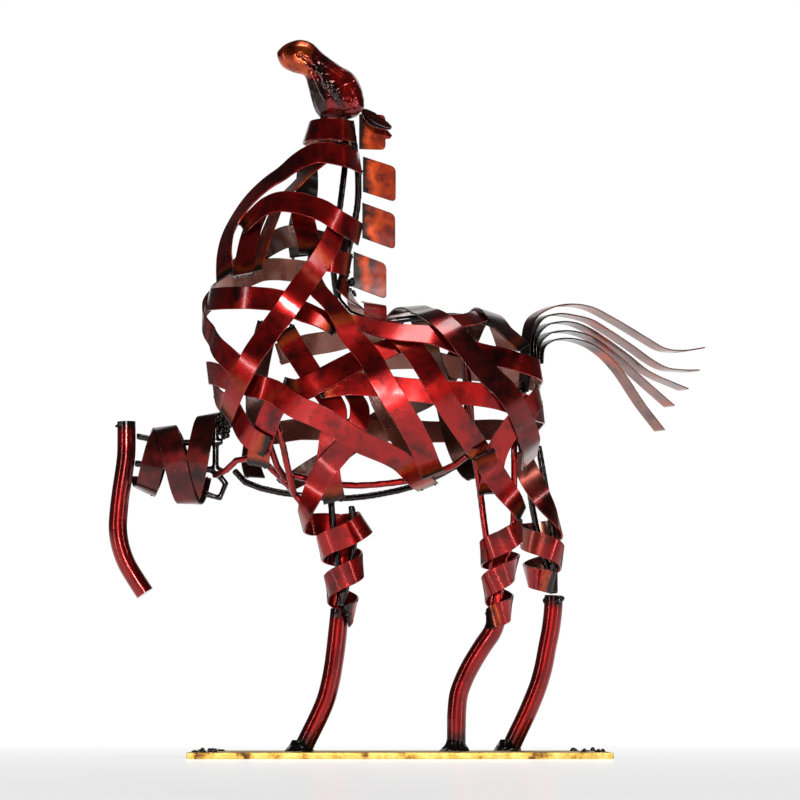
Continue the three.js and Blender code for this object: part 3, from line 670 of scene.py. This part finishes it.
def bevelledCopy(nodeName, width, material):
    made = mergedMesh(nodeName)
    bmesh.ops.dissolve_limit(made, angle_limit=math.radians(1), verts=made.verts, edges=made.edges)
    mesh = bpy.data.meshes.new(nodeName + "_look")
    made.to_mesh(mesh)
    made.free()
    mesh.materials.append(material)
    piece = placed(nodeName + "_look", mesh)
    bevel = piece.modifiers.new("bevel", "BEVEL")
    bevel.width = width * mm
    bevel.segments = 2
    bevel.limit_method = "ANGLE"
    bevel.angle_limit = math.radians(50)
    piece.modifiers.new("shading", "WEIGHTED_NORMAL").weight = 100
    for face in mesh.polygons:
        face.use_smooth = True
    return applied(piece)


finished(bevelledCopy("base_plate", 0.5, brass), "brass_base", "base_plate")
for i in range(1, 5):
    nodeName = f"mane_plate_{i}"
    piece = bevelledCopy(nodeName, 0.3, burntOrange)
    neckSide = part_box(nodeName)[0][0]
    keepFloat(piece, "scorch", [smooth01(1 - (v.co.x - neckSide) / (9 * mm)) for v in piece.data.vertices])
    finished(piece, "burnt_orange_lacquer", nodeName)
print("plates made")


headLook = {  # places are (x, z) in mm on the sides of the head
    "voxel": 0.7,
    "seam": [(-45, 375), (-41, 369), (-37.5, 363.5), (-33, 354.5)], "seamReach": 3.4, "seamRise": 0.35,
    "cheek": [(-37.1, 360.5), (-31, 365), (-24, 368), (-22.5, 359), (-26.7, 351.6), (-32.7, 350.5)],
    "cheekRise": 0.9, "cheekEase": 1.2,
    "brow": [(-46, 381), (-36, 375), (-26, 368.5)], "browReach": 1.6, "browDepth": 0.7,
    "nostril": (-54.8, 382.1), "nostrilReach": 1.9, "nostrilDepth": 1.1,
    "mouth": [(-54.8, 382), (-51, 379.4), (-47.5, 376)], "mouthReach": 1.3, "mouthDepth": 0.9,
    "muzzleEnd": -44.5, "crust": 0.22,
}


def insideOutline(spot, outline):
    x, z = spot
    turns = False
    for (ax, az), (bx, bz) in zip(outline, outline[1:] + outline[:1]):
        if (az > z) != (bz > z) and x < (bx - ax) * (z - az) / (bz - az) + ax:
            turns = not turns
    return turns


def lineDistance(spot, line):
    best = 1e9
    for (ax, az), (bx, bz) in zip(line, line[1:]):
        a, b, p = Vector((ax, az)), Vector((bx, bz)), Vector(spot)
        t = min(1, max(0, (p - a).dot(b - a) / (b - a).length_squared))
        best = min(best, (p - a.lerp(b, t)).length)
    return best


def sculptHead():
    look = headLook
    piece = roundedCopy("head", look["voxel"], 12)
    heat, soot = [], []
    cheekLine = look["cheek"] + look["cheek"][:1]
    for vertex in piece.data.vertices:
        x, y, z = (c / mm for c in vertex.co)
        way = Vector(vertex.normal)
        side = smooth01((abs(way.y) - 0.2) / 0.5)
        seam = lineDistance((x, z), look["seam"])
        push = look["seamRise"] * side * smooth01(1 - seam / look["seamReach"])
        edge = lineDistance((x, z), cheekLine) / look["cheekEase"]
        if insideOutline((x, z), look["cheek"]):
            push += look["cheekRise"] * side * smooth01(edge)
        brow = lineDistance((x, z), look["brow"])
        push -= look["browDepth"] * side * smooth01(1 - brow / look["browReach"])
        nostril = Vector((x - look["nostril"][0], z - look["nostril"][1])).length
        push -= look["nostrilDepth"] * side * smooth01(1 - nostril / look["nostrilReach"])
        mouth = lineDistance((x, z), look["mouth"])
        push -= look["mouthDepth"] * side * smooth01(1 - mouth / look["mouthReach"])
        welded = smooth01(1 - seam / 6)
        push += look["crust"] * noise.noise(Vector((x, y, z)) * 0.3) * (0.5 + 0.8 * welded)
        push += 0.9 * noise.noise(Vector((x, y, z)) * 0.62) * welded
        vertex.co += way * push * mm
        jaw = smooth01((-36 - x - (372 - z) * 0.1) / 3) * smooth01((372 - z) / 5)
        muzzle = 0.42 * smooth01((look["muzzleEnd"] - x) / 4) * smooth01((z - 367) / 5)
        bridge = 0.75 * bump01(x, -41.5, 4) * side
        heat.append(muzzle)
        soot.append(min(1, max(bridge, 0.95 * welded, 0.92 * jaw, bump01(z, 345, 9))))
    keepFloat(piece, "scorch", heat)
    keepFloat(piece, "inner", soot)
    onlyMaterial(piece, headRed)
    return finished(piece, "red_lacquer", "head")


sculptHead()
# hollow: how dark the ear's hollow side is painted, which is painted shade; rim: a little scorch on the
# rest.
earLook = {"sag": 2.6, "slim": 0.82, "hollow": 0.95, "rim": 0.12}
for nodeName, side in (("near_ear", -1), ("far_ear", 1)):
    piece = roundedCopy(nodeName, 0.3, 3)
    low, high = (Vector(corner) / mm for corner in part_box(nodeName))
    root, tip = Vector((low.x, 0, high.z)), Vector((high.x, 0, low.z))
    axis = (tip - root).normalized()
    below = Vector((axis.z, 0, -axis.x))  # square to the ear, down towards the neck
    scorch = []
    for vertex in piece.data.vertices:
        spot = vertex.co / mm - root
        part = min(1, max(0, spot.dot(axis) / (tip - root).length))
        off = spot.dot(below)
        vertex.co += below * (earLook["sag"] * math.sin(math.pi * part) - off * (1 - earLook["slim"])) * mm
        # The hollow side of each ear is darkened nearly to soot black through the scorch share: painted
        # shade in the hollow.
        facing = smooth01((vertex.normal.y * side - 0.1) / 0.4)
        scorch.append(earLook["hollow"] * facing + earLook["rim"] * (1 - facing))
    keepFloat(piece, "scorch", scorch)
    onlyMaterial(piece, candyRed)
    finished(piece, "red_lacquer", nodeName)
print("head and ears made")


weldLook = {  # places and spreads in mm, bulks as a share of the radius
    "radius": 1.7, "crust": 0.9, "seed": 3,
    "shoulderDepth": 18, "shoulderDrop": 9, "shoulderCount": 30, "shoulderBulk": (1.1, 2.0),
    "withers": [(-27, 249), (-30, 262)], "withersCount": 14, "withersBulk": (0.9, 1.6),
    "dockCount": 7, "dockBulk": (0.8, 1.5),
    "topCount": 10, "topSpread": 2.6, "topDrop": 2.6, "topBulk": (0.8, 1.4),
    "spatterCount": 44, "spatterBulk": (0.4, 1.3),
}


def weldRun(line, side, count, spread, bulk):  # beads along a line of (x, z) at one depth
    for i in range(count):
        t = random.random() * (len(line) - 1)
        a, b = line[int(t)], line[min(int(t) + 1, len(line) - 1)]
        x, z = (a[k] + (b[k] - a[k]) * (t - int(t)) for k in range(2))
        jitter = [random.gauss(0, spread) for k in range(3)]
        spot = np.array([x + jitter[0], side + jitter[1] * 0.6, z + jitter[2]])
        beads.append((spot, random.uniform(*bulk)))


def corners(nodeName):
    return [np.array(corner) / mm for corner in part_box(nodeName)]


raisedLow, raisedHigh = corners("raised_foreleg_wires")
shoulder = [(raisedHigh[0] - 2, raisedHigh[2] + 1),
            (raisedHigh[0] - 4, raisedHigh[2] - weldLook["shoulderDrop"])]
weldRun(shoulder, weldLook["shoulderDepth"], weldLook["shoulderCount"], 1.5, weldLook["shoulderBulk"])
weldRun(weldLook["withers"], 0, weldLook["withersCount"], 1.6, weldLook["withersBulk"])
for i in range(1, 6):  # the weld that holds the tail strips in the rump
    centres, _ = paths[f"tail_strip_{i}"]
    fromBody = centres if centres[0][0] < centres[-1][0] else centres[::-1]
    for turn in range(weldLook["dockCount"]):
        jitter = np.array([random.gauss(-1.2, 1.1), random.gauss(0, 1.2), random.gauss(-1.5, 2.4)])
        beads.append((fromBody[0] + jitter, random.uniform(*weldLook["dockBulk"])))
for top in tops:  # the weld that holds a bar to its wires
    for turn in range(weldLook["topCount"]):
        spread = weldLook["topSpread"]
        jitter = np.array([random.gauss(0, spread), random.gauss(0, spread),
                           random.gauss(-weldLook["topDrop"], 0.9)])
        beads.append((top + jitter, random.uniform(*weldLook["topBulk"])))
low, high = corners("base_plate")
for reach in range(weldLook["spatterCount"]):  # spatter at the two ends of the plate
    nearEnd = random.random() < 0.6
    x = random.uniform(low[0] + 2, low[0] + 15) if nearEnd else random.uniform(high[0] - 17, high[0] - 2)
    spot = np.array([x, random.uniform(low[1] + 2, high[1] - 2), plateTop])
    beads.append((spot, random.uniform(*weldLook["spatterBulk"])))
points = np.array([spot for spot, _ in beads])
source = pathObject("weld_beads", points, {"bulk": ("FLOAT", [bulk for _, bulk in beads])}, closed=True)
grown(source, beadTree(), {"Bead Radius": weldLook["radius"] * mm, "Roughness": weldLook["crust"] * mm,
                           "Seed": weldLook["seed"], "Material": sootBlack})
onlyMaterial(source, sootBlack)
finished(source, "soot_black_lacquer")
print("weld beads made:", len(beads))


studio = {
    "floorColour": "e8e8ea", "floorRoughness": 0.16,
    "floorGlowNear": 0.52, "floorGlowFar": 1.0,  # the floor runs off into the white behind
    "cameraPlace": (0, -1.7, 0.020), "cameraPitch": 5.814, "lens": 3148 / 800 * 36,
    "roomLight": 0.045,
}


def paleFloor():
    mesh = bpy.data.meshes.new("floor")
    reach = 6
    mesh.from_pydata([(-reach, -reach, 0), (reach, -reach, 0), (reach, reach, 0), (-reach, reach, 0)],
                     [], [(0, 1, 2, 3)])
    material = bpy.data.materials.new("pale_studio_floor")
    material.use_nodes = True
    shader = material.node_tree.nodes["Principled BSDF"]
    shader.inputs["Base Color"].default_value = linear(studio["floorColour"])
    shader.inputs["Roughness"].default_value = studio["floorRoughness"]
    tree = material.node_tree
    place = addNode(tree, "ShaderNodeTexCoord").outputs["Object"]
    split = addNode(tree, "ShaderNodeSeparateXYZ", {"Vector": place})
    away = addNode(tree, "ShaderNodeMapRange", {
        "Value": split.outputs["Y"], "From Min": -1.0, "From Max": 1.6,
        "To Min": studio["floorGlowNear"], "To Max": studio["floorGlowFar"]})
    shader.inputs["Emission Color"].default_value = (1, 1, 1, 1)
    tree.links.new(away.outputs[0], shader.inputs["Emission Strength"])
    mesh.materials.append(material)
    placed("floor", mesh)


def softBox(name, place, aim, size, power, colour="ffffff"):
    light = bpy.data.lights.new(name, "AREA")
    light.shape = "RECTANGLE"
    light.size, light.size_y = size
    light.energy = power
    light.color = linear(colour)[:3]
    made = placed(name, light)
    made.location = place
    made.rotation_euler = (Vector(aim) - Vector(place)).to_track_quat("-Z", "Y").to_euler()


paleFloor()
softBox("top_box", (0.1, -0.3, 1.6), (0, 0, 0.2), (0.5, 0.3), 5.5)
softBox("front_box", (-0.05, -1.75, 0.40), (0, 0, 0.2), (0.20, 0.15), 7.5)
softBox("left_strip", (-1.3, -0.9, 0.4), (0, 0, 0.2), (0.06, 1.2), 4)
softBox("right_strip", (1.4, -0.8, 0.4), (0, 0, 0.2), (0.06, 1.2), 4)
softBox("back_box", (0, 1.6, 0.9), (0, 0, 0.2), (2.0, 1.0), 5)

world = bpy.data.worlds.new("studio")
world.use_nodes = True
bpy.context.scene.world = world
sky = world.node_tree
sky.nodes.clear()
room = addNode(sky, "ShaderNodeBackground", {"Color": (1, 1, 1, 1), "Strength": studio["roomLight"]})
white = addNode(sky, "ShaderNodeBackground", {"Color": (1, 1, 1, 1), "Strength": 1.0})
seen = addNode(sky, "ShaderNodeLightPath")
both = addNode(sky, "ShaderNodeMixShader", {
    0: seen.outputs["Is Camera Ray"], 1: room.outputs[0], 2: white.outputs[0]})
addNode(sky, "ShaderNodeOutputWorld", {"Surface": both.outputs[0]})

camera = placed("camera", bpy.data.cameras.new("camera"))
camera.location = studio["cameraPlace"]
camera.rotation_euler = (math.radians(90 + studio["cameraPitch"]), 0, 0)
camera.data.lens = studio["lens"]
camera.data.sensor_width = 36
camera.data.clip_end = 50
bpy.context.scene.camera = camera
bpy.context.scene.view_settings.view_transform = "Standard"
